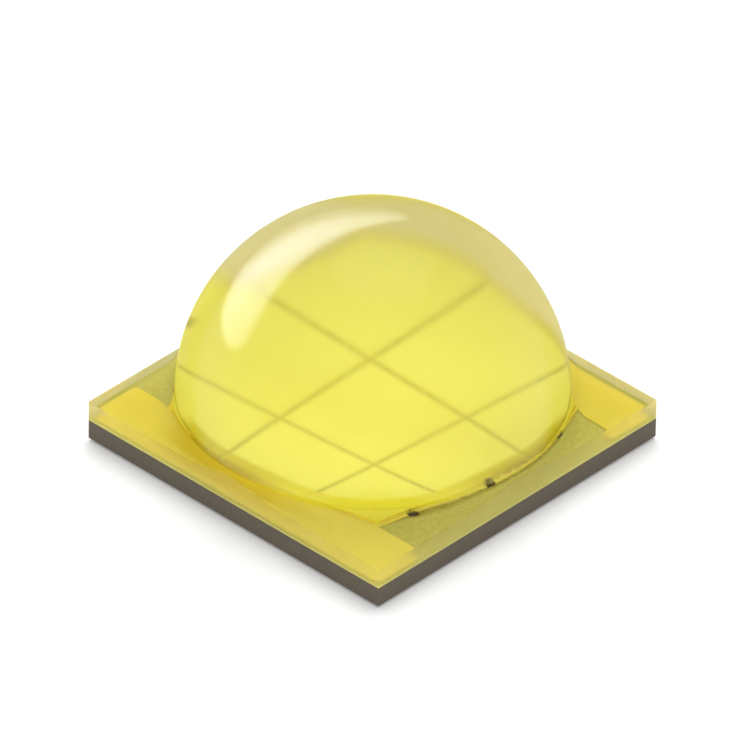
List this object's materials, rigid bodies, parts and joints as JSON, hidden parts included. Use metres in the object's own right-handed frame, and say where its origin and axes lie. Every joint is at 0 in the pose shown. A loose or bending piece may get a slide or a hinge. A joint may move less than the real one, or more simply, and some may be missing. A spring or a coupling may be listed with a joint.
{
  "type": "high-power smd led",
  "caption": "Square surface-mount LED: a clear silicone dome over a yellow phosphor-coated die array on a dark ceramic tile, with solder pads underneath.",
  "frame": {"origin": "centre of the solder pads' underside", "axes": "+Z towards the dome, -X towards the anode's pad, +X towards the cathode's pad"},
  "size_m": [0.007, 0.007, 0.0045],
  "materials": {
    "ceramic": "matte, fired, dark grey",
    "pad_gold": "satin gold plate on copper",
    "trace_gold": "satin gold plate on copper",
    "via_copper": "plated copper fill",
    "solder": "dull solder",
    "die": "polished sapphire",
    "phosphor": "matte sprayed yellow phosphor",
    "silicone": "clear moulded silicone"
  },
  "bodies": {
    "root": {"anode_pad": "pad_gold", "anode_trace": "trace_gold", "anode_via_1": "via_copper", "anode_via_2": "via_copper", "anode_via_3": "via_copper", "anode_via_4": "via_copper", "cathode_pad": "pad_gold", "cathode_trace": "trace_gold", "cathode_via_1": "via_copper", "cathode_via_2": "via_copper", "cathode_via_3": "via_copper", "cathode_via_4": "via_copper", "ceramic_substrate": "ceramic", "die_row1_column1": "die", "die_row1_column2": "die", "die_row1_column3": "die", "die_row2_column1": "die", "die_row2_column2": "die", "die_row2_column3": "die", "die_row3_column1": "die", "die_row3_column2": "die", "die_row3_column3": "die", "link_trace_1": "trace_gold", "link_trace_2": "trace_gold", "phosphor_coat": "phosphor", "silicone_lens": "silicone", "solder_anode_row1_column1": "solder", "solder_anode_row1_column2": "solder", "solder_anode_row1_column3": "solder", "solder_anode_row2_column1": "solder", "solder_anode_row2_column2": "solder", "solder_anode_row2_column3": "solder", "solder_anode_row3_column1": "solder", "solder_anode_row3_column2": "solder", "solder_anode_row3_column3": "solder", "solder_cathode_row1_column1": "solder", "solder_cathode_row1_column2": "solder", "solder_cathode_row1_column3": "solder", "solder_cathode_row2_column1": "solder", "solder_cathode_row2_column2": "solder", "solder_cathode_row2_column3": "solder", "solder_cathode_row3_column1": "solder", "solder_cathode_row3_column2": "solder", "solder_cathode_row3_column3": "solder", "thermal_pad": "pad_gold"}
  },
  "joints": []
}
